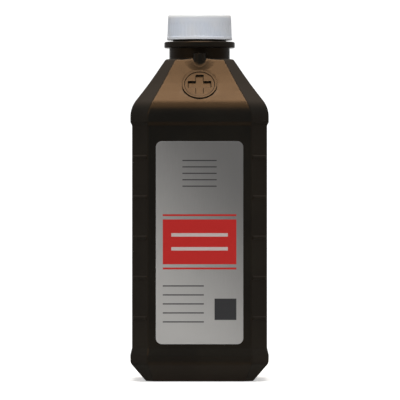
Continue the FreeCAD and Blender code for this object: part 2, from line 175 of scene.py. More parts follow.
class ShaderSheet:
    """A node tree that is filled node by node: a material's or the world's."""

    def __init__(self, tree: bpy.types.NodeTree) -> None:
        """Empty the tree and keep it."""
        self.tree = tree
        self.tree.nodes.clear()

    def node(self, kind: str, settings: dict[str, Any], inputs: dict[Any, Any]) -> bpy.types.Node:
        """Add one node.

        Args:
            kind: the node's type.
            settings: its properties, which are set first.
            inputs: values, sockets or Values for its inputs, by name or number.

        Returns:
            The new node.
        """
        made = self.tree.nodes.new(kind)
        for name, setting in settings.items():
            setattr(made, name, setting)
        for key, given in inputs.items():
            source = given.socket if isinstance(given, Value) else given
            if isinstance(source, bpy.types.NodeSocket):
                self.tree.links.new(source, made.inputs[key])
            else:
                made.inputs[key].default_value = source
        return made

    def value(self, kind: str, settings: dict[str, Any], inputs: dict[Any, Any], output: Any = 0) -> Value:
        """Add a node and return one of its outputs.

        Args:
            kind: the node's type.
            settings: its properties.
            inputs: values, sockets or Values for its inputs.
            output: name or number of the output that is wanted.

        Returns:
            That output.
        """
        return Value(self, self.node(kind, settings, inputs).outputs[output])

    def mix(self, share: Any, first: Any, second: Any) -> Value:
        """Blend two colours.

        Args:
            share: how much of the second one shows, from 0 to 1.
            first: a colour or a Value that holds one.
            second: a colour or a Value that holds one.

        Returns:
            The blended colour.
        """
        inputs = {MIX_SHARE: share}
        for key, given in ((MIX_FIRST, first), (MIX_SECOND, second)):
            inputs[key] = given + OPAQUE if isinstance(given, tuple) else given
        return self.value("ShaderNodeMix", {"data_type": "RGBA"}, inputs, output=MIX_RESULT)

    def place(self) -> Value:
        """Return the point on the object, in metres, as a vector."""
        return self.value("ShaderNodeTexCoord", {}, {}, output="Object")

    def axes(self) -> tuple[Value, Value, Value]:
        """Return the point on the object as three lengths in millimetres."""
        split = self.node("ShaderNodeSeparateXYZ", {}, {0: self.place()})
        return tuple(Value(self, split.outputs[axis]) / MM for axis in range(3))

    def noise(self, size: float, detail: float = 2.0, stretch: Triple = (1.0, 1.0, 1.0)) -> Value:
        """Add cloudy noise on the object.

        Args:
            size: width of its clouds in millimetres.
            detail: how many finer layers it has.
            stretch: how much finer it is along each axis.

        Returns:
            The noise, between 0 and 1 and mostly near a half.
        """
        factors = {0: self.place(), 1: stretch}
        stretched = self.value("ShaderNodeVectorMath", {"operation": "MULTIPLY"}, factors)
        inputs = {"Vector": stretched, "Scale": 1.0 / (size * MM), "Detail": detail}
        return self.value("ShaderNodeTexNoise", {}, inputs)

    def bump(self, height: Value, depth: float) -> Value:
        """Return the normal of a relief.

        Args:
            height: the relief, from 0 to 1.
            depth: its depth in millimetres.

        Returns:
            The changed normal.
        """
        return self.value("ShaderNodeBump", {}, {"Strength": 1.0, "Distance": depth * MM, "Height": height})

    def plastic(self, inputs: dict[str, Any]) -> None:
        """Close the tree with a surface shader that has the given inputs."""
        shader = self.node("ShaderNodeBsdfPrincipled", {}, inputs)
        self.node("ShaderNodeOutputMaterial", {}, {"Surface": shader.outputs[0]})


def new_material(name: str) -> tuple[bpy.types.Material, ShaderSheet]:
    """Make an empty material.

    Args:
        name: its name.

    Returns:
        The material and the sheet that fills it.
    """
    material = bpy.data.materials.new(name)
    material.use_nodes = True
    return material, ShaderSheet(material.node_tree)


@dataclass(frozen=True)
class MouldedBrown:
    """Semi-gloss dark brown plastic of the blown bottle, a little wavy, with a fine orange peel."""

    name: str = "bottle_brown_plastic"
    deep: Colour = (0.0068, 0.0080, 0.0080)
    warm: Colour = (0.0092, 0.0100, 0.0092)
    sheen: Colour = (1.0, 0.49, 0.15)
    cloud_size: float = 26.0
    cloud_range: Span = (0.35, 0.65)
    scuff_size: float = 5.0
    scuff_stretch: Triple = (1.0, 1.0, 0.35)
    scuff_range: Span = (0.45, 0.75)
    wave_size: float = 14.0
    wave_depth: float = 0.04
    peel_size: float = 0.8
    peel_share: float = 0.008
    rough: float = 0.28
    rough_spread: float = 0.04
    refraction: float = 1.34

    def material(self) -> bpy.types.Material:
        """Mix two browns in soft clouds, vary the gloss and add the waves of a blown wall.

        Returns:
            The material.
        """
        material, sheet = new_material(self.name)
        clouds = sheet.noise(self.cloud_size, detail=3.0).rise(*self.cloud_range)
        scuffs = sheet.noise(self.scuff_size, detail=4.0, stretch=self.scuff_stretch).rise(*self.scuff_range)
        waves = sheet.noise(self.wave_size, detail=1.0)
        peel = sheet.noise(self.peel_size, detail=2.0)
        sheet.plastic({
            "Base Color": sheet.mix(clouds, self.deep, self.warm),
            "Roughness": self.rough + self.rough_spread * scuffs,
            "IOR": self.refraction,
            "Specular Tint": self.sheen + OPAQUE,
            "Normal": sheet.bump(waves + self.peel_share * peel, self.wave_depth),
        })
        return material


@dataclass(frozen=True)
class CapWhite:
    """Satin white moulded plastic of the screw cap, with faint flow clouds and a painted highlight along its
    top edge and lower rim.
    """

    name: str = "cap_white_plastic"
    cool: Colour = (0.635, 0.685, 0.77)
    pale: Colour = (0.675, 0.705, 0.76)
    # Painted highlight: the paler colour, the heights over which it is painted along the top edge, and the
    # lower rim's heights and smaller share.
    edge: Colour = (0.92, 0.93, 0.94)
    top_edge_highlight: Span = (170.5, 172.0)
    top_highlight_end: Span = (172.85, 172.35)
    low_edge_highlight: Span = (162.3, 161.4)
    low_highlight_share: float = 0.4
    cloud_size: float = 9.0
    cloud_range: Span = (0.35, 0.65)
    grain_size: float = 0.5
    grain_depth: float = 0.012
    rough: float = 0.28
    rough_spread: float = 0.10
    refraction: float = 1.5

    def material(self) -> bpy.types.Material:
        """Mix two whites in soft clouds, paint a paler highlight along the top edge and the lower rim, and
        vary the satin gloss.

        Returns:
            The material.
        """
        material, sheet = new_material(self.name)
        clouds = sheet.noise(self.cloud_size, detail=2.0).rise(*self.cloud_range)
        grain = sheet.noise(self.grain_size, detail=2.0)
        height = sheet.axes()[2]
        # Painted highlight: paler along the top edge and, at a smaller share, along the lower rim.
        top_edge_highlight = height.rise(*self.top_edge_highlight) * height.rise(*self.top_highlight_end)
        low_edge_highlight = self.low_highlight_share * height.rise(*self.low_edge_highlight)
        white = sheet.mix(clouds, self.cool, self.pale)
        sheet.plastic({
            "Base Color": sheet.mix(top_edge_highlight.most(low_edge_highlight), white, self.edge),
            "Roughness": self.rough + self.rough_spread * grain,
            "IOR": self.refraction,
            "Normal": sheet.bump(grain, self.grain_depth),
        })
        return material


@dataclass(frozen=True)
class Rules:
    """Level rules that fill a rectangle of the label: its edges, the rules' pitch and their height."""

    box: Box
    pitch: float
    ink: float


@dataclass(frozen=True)
class LabelPrint:
    """Silver-grey coated label film with painted shade and sheen, a plain red band, plain dark rules and a
    plain dark square.

    Lengths are millimetres on the label: across from its middle and up from the table. A box gives a
    rectangle's left, right, lower and upper edges.
    """

    name: str = "label_silver_film"
    # The darker and the paler end of the ground's painted shade and sheen; the pale rules take the paler one
    # too.
    shade: Colour = (0.172, 0.170, 0.167)
    bright: Colour = (0.47, 0.464, 0.452)
    red: Colour = (0.42, 0.016, 0.014)
    ink: Colour = (0.030, 0.030, 0.032)
    # Heights of the label's foot and head, between which the painted shade runs from palest to darkest.
    foot: float = 17.7
    head: float = 112.5
    soft: float = 0.12
    bands: tuple[Box, ...] = (
        (-17.2, 17.2, 55.0, 76.0),
        (-17.2, 17.2, 52.6, 53.5),
        (-17.2, 17.2, 77.5, 78.4),
    )
    band_rules: Rules = Rules((-13.2, 13.2, 59.0, 72.0), pitch=6.5, ink=1.6)
    band_rule_share: float = 0.85
    low_rules: Rules = Rules((-17.2, 2.0, 26.0, 47.0), pitch=4.2, ink=0.55)
    high_rules: Rules = Rules((-8.0, 8.0, 90.0, 105.0), pitch=3.0, ink=0.5)
    square: Box = (7.0, 17.2, 29.0, 39.0)
    brush_size: float = 0.5
    brush_stretch: Triple = (1.0, 1.0, 0.12)
    brush_depth: float = 0.004
    brush_share: float = 0.10
    # How much the painted shade grows to the right for each millimetre across, and the range of its smooth
    # step.
    painted_side_shade: float = 0.013
    painted_shade_range: Span = (-0.15, 1.15)
    metal: float = 0.35
    rough: float = 0.42
    rough_spread: float = 0.12
    refraction: float = 1.3

    def strip(self, place: Value, low: float, high: float) -> Value:
        """Return the mask of a strip across one axis.

        Args:
            place: place along the axis.
            low: where the strip starts.
            high: where it ends.

        Returns:
            1 on the strip and 0 beyond it, with soft edges.
        """
        half = 0.5 * (high - low)
        return abs(place - 0.5 * (low + high)).rise(half + self.soft, half - self.soft)

    def block(self, x: Value, z: Value, box: Box) -> Value:
        """Return the mask of an upright rectangle.

        Args:
            x: place across the label.
            z: height.
            box: its left, right, lower and upper edges.

        Returns:
            1 inside it and 0 outside, with soft edges.
        """
        left, right, low, high = box
        return self.strip(x, left, right) * self.strip(z, low, high)

    def ruled(self, x: Value, z: Value, rules: Rules) -> Value:
        """Return the mask of level rules that fill a rectangle.

        Args:
            x: place across the label.
            z: height.
            rules: the rectangle and its rules.

        Returns:
            1 on the rules and 0 between them.
        """
        beat = abs(((z - rules.box[2]) / rules.pitch).fraction() - 0.5) * rules.pitch
        half = 0.5 * rules.ink
        return self.block(x, z, rules.box) * beat.rise(half + self.soft, half - self.soft)

    def material(self) -> bpy.types.Material:
        """Paint shade and sheen on the silver ground, then print the band, the rules and the square on it.

        Returns:
            The material.
        """
        material, sheet = new_material(self.name)
        x, _, z = sheet.axes()
        brushed = sheet.noise(self.brush_size, detail=3.0, stretch=self.brush_stretch)
        # Painted shade and sheen: the ground darkens towards the top and the right and pales towards the
        # bottom and the left, with a little brushed noise.
        fall = (self.head - z) / (self.head - self.foot) - self.painted_side_shade * x
        fall = fall + self.brush_share * (brushed - 0.5)
        ground = sheet.mix(fall.rise(*self.painted_shade_range), self.shade, self.bright)
        band = reduce(Value.most, [self.block(x, z, box) for box in self.bands])
        pale_rules = self.ruled(x, z, self.band_rules)
        inked = self.ruled(x, z, self.low_rules).most(self.ruled(x, z, self.high_rules))
        inked = inked.most(self.block(x, z, self.square))
        printed = sheet.mix(band, ground, self.red)
        printed = sheet.mix(self.band_rule_share * pale_rules, printed, self.bright)
        printed = sheet.mix(inked, printed, self.ink)
        sheet.plastic({
            "Base Color": printed,
            "Metallic": self.metal * (1.0 - band.most(inked)),
            "Roughness": self.rough + self.rough_spread * brushed,
            "IOR": self.refraction,
            "Normal": sheet.bump(brushed, self.brush_depth),
        })
        return material


@dataclass(frozen=True)
class FoilMetal:
    """Thin aluminium foil with a faint crinkle."""

    name: str = "seal_aluminium_foil"
    dull: Colour = (0.66, 0.66, 0.67)
    bright: Colour = (0.86, 0.86, 0.87)
    crinkle_size: float = 2.2
    crinkle_range: Span = (0.3, 0.7)
    crinkle_depth: float = 0.05
    rolled_size: float = 0.4
    rolled_stretch: Triple = (0.06, 1.0, 1.0)
    rolled_share: float = 0.2
    rough: float = 0.22
    rough_spread: float = 0.16

    def material(self) -> bpy.types.Material:
        """Crinkle the metal and dull it in patches.

        Returns:
            The material.
        """
        material, sheet = new_material(self.name)
        crinkle = sheet.noise(self.crinkle_size, detail=4.0)
        rolled = sheet.noise(self.rolled_size, detail=2.0, stretch=self.rolled_stretch)
        sheet.plastic({
            "Base Color": sheet.mix(crinkle.rise(*self.crinkle_range), self.dull, self.bright),
            "Metallic": 1.0,
            "Roughness": self.rough + self.rough_spread * rolled,
            "Normal": sheet.bump(crinkle + self.rolled_share * rolled, self.crinkle_depth),
        })
        return material


@dataclass(frozen=True)
class LinerBoard:
    """Pressed pulp board of the cap's liner, with fibres and flecks."""

    name: str = "liner_pulp_board"
    grey: Colour = (0.60, 0.57, 0.50)
    cream: Colour = (0.80, 0.77, 0.69)
    fibre_size: float = 1.1
    fibre_stretch: Triple = (0.35, 1.0, 1.0)
    fibre_range: Span = (0.3, 0.7)
    fibre_depth: float = 0.03
    fleck_size: float = 0.5
    fleck_range: Span = (0.66, 0.72)
    fleck_share: float = 0.5
    rough: float = 0.82
    rough_spread: float = 0.1

    def material(self) -> bpy.types.Material:
        """Mix cream and grey along short fibres, with grey flecks.

        Returns:
            The material.
        """
        material, sheet = new_material(self.name)
        fibres = sheet.noise(self.fibre_size, detail=5.0, stretch=self.fibre_stretch)
        flecks = sheet.noise(self.fleck_size, detail=2.0).rise(*self.fleck_range)
        pulp = sheet.mix(fibres.rise(*self.fibre_range), self.grey, self.cream)
        sheet.plastic({
            "Base Color": sheet.mix(self.fleck_share * flecks, pulp, self.grey),
            "Roughness": self.rough + self.rough_spread * fibres,
            "Normal": sheet.bump(fibres, self.fibre_depth),
        })
        return material


@dataclass(frozen=True)
class StagePaper:
    """Matt pale paper of the floor, with a glow that keeps the bottle's shadow on it faint."""

    name: str = "stage_pale_paper"
    pale: Colour = (0.88, 0.88, 0.88)
    shade: Colour = (0.85, 0.85, 0.85)
    tooth_size: float = 3.0
    rough: float = 0.9
    glow: float = 0.55

    def material(self) -> bpy.types.Material:
        """Vary the pale paper very slightly.

        Returns:
            The material.
        """
        material, sheet = new_material(self.name)
        tooth = sheet.noise(self.tooth_size, detail=3.0)
        paper = sheet.mix(tooth, self.pale, self.shade)
        sheet.plastic({
            "Base Color": paper,
            "Roughness": self.rough,
            "Emission Color": paper,
            "Emission Strength": self.glow,
        })
        return material


@dataclass
class Skin:
    """A closed surface given by a grid of points in millimetres: rows, columns and three axes.

    The columns go round the piece anticlockwise, seen from above, and close on themselves. The first and
    the last row are single points. Rows that start under a piece and go out and up make faces that point
    outwards.
    """

    points: np.ndarray

    def corner_numbers(self) -> tuple[np.ndarray, np.ndarray, np.ndarray]:
        """Number the points and list the faces' corners.

        Returns:
            Which points are kept, the corners of all the faces in one row, and where each face starts in it.
        """
        kept = np.ones(self.points.shape[:2], bool)
        kept[[0, -1], 1:] = False
        number = np.cumsum(kept).reshape(kept.shape) - 1
        ahead = np.roll(number, -1, axis=1)
        lower, upper = slice(0, -1), slice(1, None)
        quads = np.stack([number[lower], ahead[lower], ahead[upper], number[upper]], axis=-1)
        first = quads[0][:, [0, 2, 3]]
        last = quads[-1][:, [0, 1, 2]]
        middle = quads[1:-1].reshape(-1, 4)
        corners = np.concatenate([first.ravel(), middle.ravel(), last.ravel()])
        sides = np.concatenate([np.full(len(first), 3), np.full(len(middle), 4), np.full(len(last), 3)])
        return kept, corners, np.cumsum(sides) - sides

    def to_object(self, name: str, material: bpy.types.Material) -> bpy.types.Object:
        """Make the mesh and its object at the origin.

        Args:
            name: the object's name.
            material: its finish.

        Returns:
            The new object, linked to the scene.
        """
        kept, corners, starts = self.corner_numbers()
        mesh = bpy.data.meshes.new(name)
        places = self.points[kept] * MM
        mesh.vertices.add(len(places))
        mesh.vertices.foreach_set("co", places.ravel().astype(np.float32))
        mesh.loops.add(len(corners))
        mesh.loops.foreach_set("vertex_index", corners.astype(np.int32))
        mesh.polygons.add(len(starts))
        mesh.polygons.foreach_set("loop_start", starts.astype(np.int32))
        mesh.polygons.foreach_set("use_smooth", np.ones(len(starts), bool))
        mesh.update(calc_edges=True)
        mesh.validate()
        mesh.materials.append(material)
        made = bpy.data.objects.new(name, mesh)
        bpy.context.scene.collection.objects.link(made)
        return made


def smooth(share: np.ndarray) -> np.ndarray:
    """Return a smooth step between 0 and 1: three squares less two cubes of the share, kept in range."""
    held = np.clip(share, 0.0, 1.0)
    return held * held * (3.0 - 2.0 * held)


def rounded_path(
    corners: Sequence[Corner],
    run: float,
    turn: float = 6.0,
    support: float = 0.25,
    widest: float = 0.25,
) -> np.ndarray:
    """Follow straight legs whose corners are rounded.

    The arc of a corner touches both legs. Its centre lies on the line that halves the corner, a radius over
    the sine of half the corner away. Each straight leg has a point a short way from both of its ends, so
    that the shading of the arcs doesn't spread over it.

    Args:
        corners: distance from the axis, height and radius of each corner; the first and last have no arc.
        run: longest step on a straight leg.
        turn: largest turn in one step of an arc, in degrees.
        support: how far from its ends a straight leg has those points.
        widest: the largest share of a leg that this may take.

    Returns:
        The points along the path, one row each: distance from the axis and height.
    """
    marks = np.array(corners, float)[:, :2]
    arcs = [marks[:1]]
    for index in range(1, len(corners) - 1):
        radius = corners[index][2]
        back = marks[index - 1] - marks[index]
        ahead = marks[index + 1] - marks[index]
        back /= np.linalg.norm(back)
        ahead /= np.linalg.norm(ahead)
        half = 0.5 * math.acos(float(np.clip(back @ ahead, -1.0, 1.0)))
        inward = (back + ahead) / np.linalg.norm(back + ahead)
        centre = marks[index] + inward * radius / math.sin(half)
        start = marks[index] + back * radius / math.tan(half) - centre
        swing = math.pi - 2.0 * half
        angles = np.linspace(0.0, swing, 1 + max(2, math.ceil(math.degrees(swing) / turn)))[:, None]
        arcs.append(centre + np.cos(angles) * start - np.sin(angles) * radius * back)
    arcs.append(marks[-1:])
    path = [arcs[0]]
    for before, after in zip(arcs[:-1], arcs[1:]):
        start, end = before[-1], after[0]
        length = float(np.linalg.norm(end - start))
        inset = min(support / length, widest) if length > MM else 0.0
        if inset:
            shares = np.linspace(inset, 1.0 - inset, 1 + max(1, math.ceil(length / run)))[:, None]
            path.append(start + shares * (end - start))
        path.append(after)
    return np.concatenate(path)


# Shares of a half side and of a half corner flat, and angles of the rounded edge between them, at which a
# level outline has its points. By a power, the points of the side and of the flat crowd towards the edge.
CROWDING = 1.6
SEAM_SHARES = np.array([0.0, 0.010, 0.022])
EVEN_SHARES = np.linspace(0.1, 1.0, 10, endpoint=False)
SIDE_SHARES = np.concatenate([SEAM_SHARES, 1.0 - (1.0 - EVEN_SHARES) ** CROWDING])
EDGE_ANGLES = np.linspace(0.0, 0.5 * QUARTER_TURN, 7)
FLAT_SHARES = np.linspace(0.0, 1.0, 7)[1:] ** CROWDING


def cut_square_loops(side: np.ndarray, corner: np.ndarray, edge: np.ndarray) -> np.ndarray:
    """Work out level outlines of a square with cut corners.

    One eighth of an outline runs along half a side, round the edge and along half the corner's flat. The
    centre of the edge's arc lies an edge radius inside both the side's and the flat's line. The next eighth
    is its mirror image in the diagonal, and the four quarters are turns of the first.

    Args:
        side: distance of the sides from the axis, one for each row.
        corner: distance of the corner flats from the axis, one for each row.
        edge: radius of the edges between them, one for each row.

    Returns:
        Points of the outlines: rows, columns and two axes.
    """
    side, corner, edge = (np.asarray(given, float)[:, None] for given in (side, corner, edge))
    knee_x = side - edge
    knee_y = ROOT_TWO * (corner - edge) - knee_x
    along_side = np.stack([side + 0.0 * SIDE_SHARES, knee_y * SIDE_SHARES], axis=-1)
    arc = np.stack([knee_x + edge * np.cos(EDGE_ANGLES), knee_y + edge * np.sin(EDGE_ANGLES)], axis=-1)
    middle = np.stack([corner, corner], axis=-1) / ROOT_TWO
    along_flat = arc[:, -1:] + (middle - arc[:, -1:]) * FLAT_SHARES[None, :, None]
    eighth = np.concatenate([along_side, arc, along_flat], axis=1)
    quarter = np.concatenate([eighth, eighth[:, -2:0:-1, ::-1]], axis=1)
    turned = np.stack([-quarter[..., 1], quarter[..., 0]], axis=-1)
    half = np.concatenate([quarter, turned], axis=1)
    return np.concatenate([half, -half], axis=1)


def even_angles(count: int) -> np.ndarray:
    """Return the angles of columns that lie evenly round a full turn."""
    return np.linspace(0.0, FULL_TURN, count, endpoint=False)


def circles(path: np.ndarray, angles: np.ndarray) -> np.ndarray:
    """Turn a path about the Z axis.

    Args:
        path: distance from the axis and height of each row.
        angles: angle of each column.

    Returns:
        Points: rows, columns and three axes.
    """
    x = path[:, :1] * np.cos(angles)
    y = path[:, :1] * np.sin(angles)
    return np.stack([x, y, path[:, 1:] + 0.0 * x], axis=-1)


def between(first: np.ndarray, last: np.ndarray, count: int) -> np.ndarray:
    """Return rows that lie evenly between two rows of points.

    Args:
        first: the row before them.
        last: the row after them.
        count: how many.

    Returns:
        The rows between, without the two that are given.
    """
    shares = np.linspace(0.0, 1.0, count + 2)[1:-1, None, None]
    return first + shares * (last - first)


@dataclass(frozen=True)
class Thread:
    """A screw thread's ridge: it climbs by the pitch in each turn and fades out at both ends."""

    start: float
    turns: float
    depth: float
    pitch: float = 4.233
    crest: float = 0.7
    flank: float = 0.75
    fade: float = math.radians(28.0)

    def relief(self, angle: np.ndarray, height: np.ndarray) -> np.ndarray:
        """Work out how far the ridge stands out.

        At each angle the ridge's middle lies at its start plus the pitch times the turns made so far. The
        relief is full over the crest and falls off smoothly over the flanks.

        Args:
            angle: angles about the axis, from 0 to a full turn.
            height: heights, of the same shape.

        Returns:
            The relief, of the same shape.
        """
        best = np.zeros(np.broadcast(angle, height).shape)
        for lap in range(math.ceil(self.turns)):
            travel = angle + FULL_TURN * lap
            left = FULL_TURN * self.turns - travel
            middle = self.start + self.pitch * travel / FULL_TURN
            nearness = (0.5 * self.crest + self.flank - np.abs(height - middle)) / self.flank
            ends = smooth(travel / self.fade) * smooth(left / self.fade)
            best = np.maximum(best, self.depth * smooth(nearness) * ends)
        return best


@dataclass
class Bottle:
    """The blown bottle: a shell with a hollow base, sunk panels, a four-sided shoulder and a threaded neck.

    Sizes are in millimetres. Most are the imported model's. The bevel, the heel and the lower bead's ramp
    differ from it a little, to follow the photo, and the thread and the raised lines are only here.
    """

    half: float = 32.45
    corner_cut: float = 8.0
    wall: float = 1.05
    bevel_run: float = 7.35
    bevel_rise: float = 8.6
    base_round: float = 0.8
    heel_round: float = 3.5
    panel_sink: float = 0.8
    panel_foot: float = 14.1
    panel_head: float = 120.7
    low_ramp: float = 3.4
    high_ramp: float = 1.3
    bead_round: float = 1.9
    edge_round: float = 1.5
    shoulder: float = 128.4
    shoulder_round: float = 12.5
    shoulder_sink: float = 0.57
    shoulder_sweep: float = 150.0
    corner_drop: float = 0.6
    crown: float = 151.5
    crown_half: float = 15.9
    crown_cut: float = 4.7
    crown_round: float = 1.9
    push_radius: float = 20.0
    push_slope: float = 4.0
    push_rise: float = 2.4
    push_round: float = 3.0
    push_land: float = 1.0
    pinch_half: float = 15.0
    pinch_width: float = 0.8
    pinch_fade: float = 1.5
    pinch_proud: float = 0.45
    seam_proud: float = 0.09
    rib_count: int = 5
    rib_pitch: float = 18.85
    rib_radius: float = 1.2
    rib_proud: float = 0.5
    rib_inset: float = 0.5
    rib_rows: int = 13
    row_grain: float = 0.1
    inner_edge: float = 0.8
    inner_gap: float = 0.3
    inner_thinning: int = 4
    steepest: float = 2.0
    neck: float = 14.35
    neck_round: float = 0.7
    neck_land: float = 0.1
    ring: float = 16.75
    ring_foot: float = 156.9
    ring_head: float = 159.9
    ring_round: float = 0.7
    ring_fillet: float = 0.3
    finish_fillet: float = 0.5
    finish: float = 12.6
    lip: float = 170.4
    lip_round: float = 0.4
    bore: float = 11.0
    throat_round: float = 1.5
    throat_fillet: float = 0.5
    throat_land: float = 0.6
    thread: Thread = Thread(start=162.2, turns=1.6, depth=0.75)

    @property
    def corner(self) -> float:
        """Return the distance of the corner flats from the axis."""
        return (2.0 * self.half - self.corner_cut) / ROOT_TWO

    @property
    def crown_corner(self) -> float:
        """Return the distance of the crown's corner flats from the axis."""
        return (2.0 * self.crown_half - self.crown_cut) / ROOT_TWO

    @property
    def slope(self) -> float:
        """Return the fall of the shoulder for each millimetre that it goes out."""
        return (self.crown - self.shoulder) / (self.half - self.crown_half)

    @property
    def rib_levels(self) -> np.ndarray:
        """Return the heights of the cross ribs, evenly about the panel's middle."""
        middle = 0.5 * (self.panel_foot + self.panel_head)
        return middle + self.rib_pitch * (np.arange(self.rib_count) - 0.5 * (self.rib_count - 1))

    def wall_line(self, half: float, crown: float, shoulder: float) -> np.ndarray:
        """Follow the upright outline of a side or of a corner flat, from the table to the crown.

        Args:
            half: its distance from the axis at the beads.
            crown: its distance from the axis at the crown.
            shoulder: height at which its shoulder starts.

        Returns:
            Distance from the axis and height of each point, without the level runs at both ends.
        """
        panel = half - self.panel_sink
        low_ramp, high_ramp = 0.5 * self.low_ramp, 0.5 * self.high_ramp
        waist = 0.5 * (half + crown) - self.shoulder_sink
        corners = [
            (half - self.bevel_run - self.base_round * 2.0, 0.0, 0.0),
            (half - self.bevel_run, 0.0, self.base_round),
            (half, self.bevel_rise, self.heel_round),
            (half, self.panel_foot - low_ramp, self.bead_round),
            (panel, self.panel_foot + low_ramp, self.bead_round),
            (panel, self.panel_head - high_ramp, self.bead_round),
            (half, self.panel_head + high_ramp, self.bead_round),
            (half, shoulder, self.shoulder_round),
            (waist, 0.5 * (shoulder + self.crown), self.shoulder_sweep),
            (crown, self.crown, self.crown_round),
            (crown - self.crown_round * 2.0, self.crown, 0.0),
        ]
        path = rounded_path(corners, run=3.0, turn=4.0)
        from_below = np.diff(path[:, 1], prepend=-1.0)
        to_above = np.diff(path[:, 1], append=self.crown + 1.0)
        return path[(from_below > 0.0) & (to_above >= 0.0)]

    def body_loops(self) -> tuple[np.ndarray, np.ndarray, np.ndarray]:
        """Work out the level outlines of the body and shoulder.

        Returns:
            Heights, distance of the sides and distance of the corner flats, one for each row.
        """
        side = self.wall_line(self.half, self.crown_half, self.shoulder)
        corner = self.wall_line(self.corner, self.crown_corner, self.shoulder - self.corner_drop)
        rib_reach = np.linspace(-self.rib_radius, self.rib_radius, self.rib_rows)
        ribs = (self.rib_levels[:, None] + rib_reach).ravel()
        wanted = np.concatenate([side[:, 1], corner[:, 1], ribs])
        heights = np.unique(np.round(wanted / self.row_grain)) * self.row_grain
        heights = np.clip(heights, 0.0, self.crown)
        side_reach = np.interp(heights, side[:, 1], side[:, 0])
        corner_reach = np.interp(heights, corner[:, 1], corner[:, 0])
        return heights, side_reach, corner_reach

    def rib_relief(self, loops: np.ndarray, heights: np.ndarray) -> np.ndarray:
        """Work out how far the cross ribs stand out of the corner flats.

        A rib is the cap of a round bar: the bar's circle less the depth at which its axis lies. Towards both
        ends of the flat it runs out at a slant.

        Args:
            loops: outlines, rows, columns and two axes.
            heights: height of each row.

        Returns:
            The relief at each point.
        """
        across = np.abs(np.abs(loops[..., 1]) - np.abs(loops[..., 0])) / ROOT_TWO
        panel, panel_corner = self.half - self.panel_sink, self.corner - self.panel_sink
        reach = ROOT_TWO * panel - panel_corner - self.rib_inset
        away = np.abs(heights[:, None] - self.rib_levels).min(axis=1)[:, None]
        bar = np.sqrt(np.maximum(self.rib_radius**2 - away**2, 0.0)) - (self.rib_radius - self.rib_proud)
        return np.maximum(np.minimum(bar, reach - across), 0.0)

    def seam_relief(self, loops: np.ndarray) -> np.ndarray:
        """Work out how far the mould's parting line stands out of the left and right sides.

        Args:
            loops: outlines, rows, columns and two axes.

        Returns:
            The relief along X: a low ridge along the middle of each side, kept inside the beads.
        """
        seam_half = float(SEAM_SHARES[1]) * self.half
        ridge = np.clip(1.0 - np.abs(loops[..., 1]) / seam_half, 0.0, 1.0) * self.seam_proud
        return np.minimum(ridge, self.half - np.abs(loops[..., 0]))

    def outer_body(self) -> np.ndarray:
        """Return the rows of the body and shoulder with their ribs and parting lines.

        Returns:
            Points from the table to the crown: rows, columns and three axes.
        """
        heights, side, corner = self.body_loops()
        loops = cut_square_loops(side, corner, np.full(len(heights), self.edge_round))
        ribs = self.rib_relief(loops, heights) / ROOT_TWO
        seams = self.seam_relief(loops)
        x = loops[..., 0] + np.sign(loops[..., 0]) * (ribs + seams)
        y = loops[..., 1] + np.sign(loops[..., 1]) * ribs
        return np.stack([x, y, heights[:, None] + 0.0 * x], axis=-1)

    def inner_body(self) -> np.ndarray:
        """Return the rows of the inside.

        A wall's level thickness is its real one times the length of its slope for each millimetre of height.

        Returns:
            Points from under the crown down to the floor: rows, columns and three axes.
        """
        heights, side, corner = self.body_loops()
        lines = []
        for line in (side, corner):
            lean = np.clip(np.gradient(line, heights), -self.steepest, self.steepest)
            lines.append(line - self.wall * np.sqrt(1.0 + lean**2))
        margin = self.wall + self.inner_gap
        chosen = (heights > margin) & (heights < self.crown - margin)
        chosen &= np.arange(len(heights)) % self.inner_thinning == 0
        edges = np.full(chosen.sum(), self.inner_edge)
        loops = cut_square_loops(lines[0][chosen], lines[1][chosen], edges)
        rows = np.concatenate([loops, heights[chosen][:, None, None] + 0.0 * loops[..., :1]], axis=-1)
        return rows[::-1]

    def neck_path(self) -> np.ndarray:
        """Follow the neck from the crown over the ring, the finish and the lip, down into the throat.

        Returns:
            Distance from the axis and height of each point.
        """
        throat = self.neck - self.wall
        under = self.crown - self.wall
        return rounded_path([
            (self.neck + self.neck_round + self.neck_land, self.crown, 0.0),
            (self.neck, self.crown, self.neck_round),
            (self.neck, self.ring_foot, self.ring_fillet),
            (self.ring, self.ring_foot, self.ring_round),
            (self.ring, self.ring_head, self.ring_round),
            (self.finish, self.ring_head, self.finish_fillet),
            (self.finish, self.lip, self.lip_round),
            (self.bore, self.lip, self.lip_round),
            (self.bore, self.ring_head, self.throat_round),
            (throat, self.ring_foot - self.wall, self.throat_round),
            (throat, under, self.throat_fillet),
            (throat + self.throat_land, under, 0.0),
        ], run=0.5, turn=10.0)

    def base_path(self) -> np.ndarray:
        """Follow the hollow under the base from its middle to the ring that the bottle stands on.

        Returns:
            Distance from the axis and height of each point.
        """
        return rounded_path([
            (0.0, self.push_rise, 0.0),
            (self.push_radius - self.push_slope, self.push_rise, self.push_round),
            (self.push_radius, 0.0, self.base_round),
            (self.push_radius + self.push_land, 0.0, 0.0),
        ], run=2.0, turn=10.0)

    def base_rows(self, angles: np.ndarray) -> np.ndarray:
        """Return the rows under the base, with the raised line where the mould pinched it off.

        Args:
            angles: angle of each column.

        Returns:
            Points from the middle out: rows, columns and three axes.
        """
        base = circles(self.base_path(), angles)
        across = smooth(self.pinch_fade - np.abs(base[..., 1]) / self.pinch_width)
        along = smooth(self.pinch_half - np.abs(base[..., 0]))
        in_hollow = base[..., 2] > 0.5 * self.push_rise
        base[..., 2] -= self.pinch_proud * across * along * in_hollow
        return base

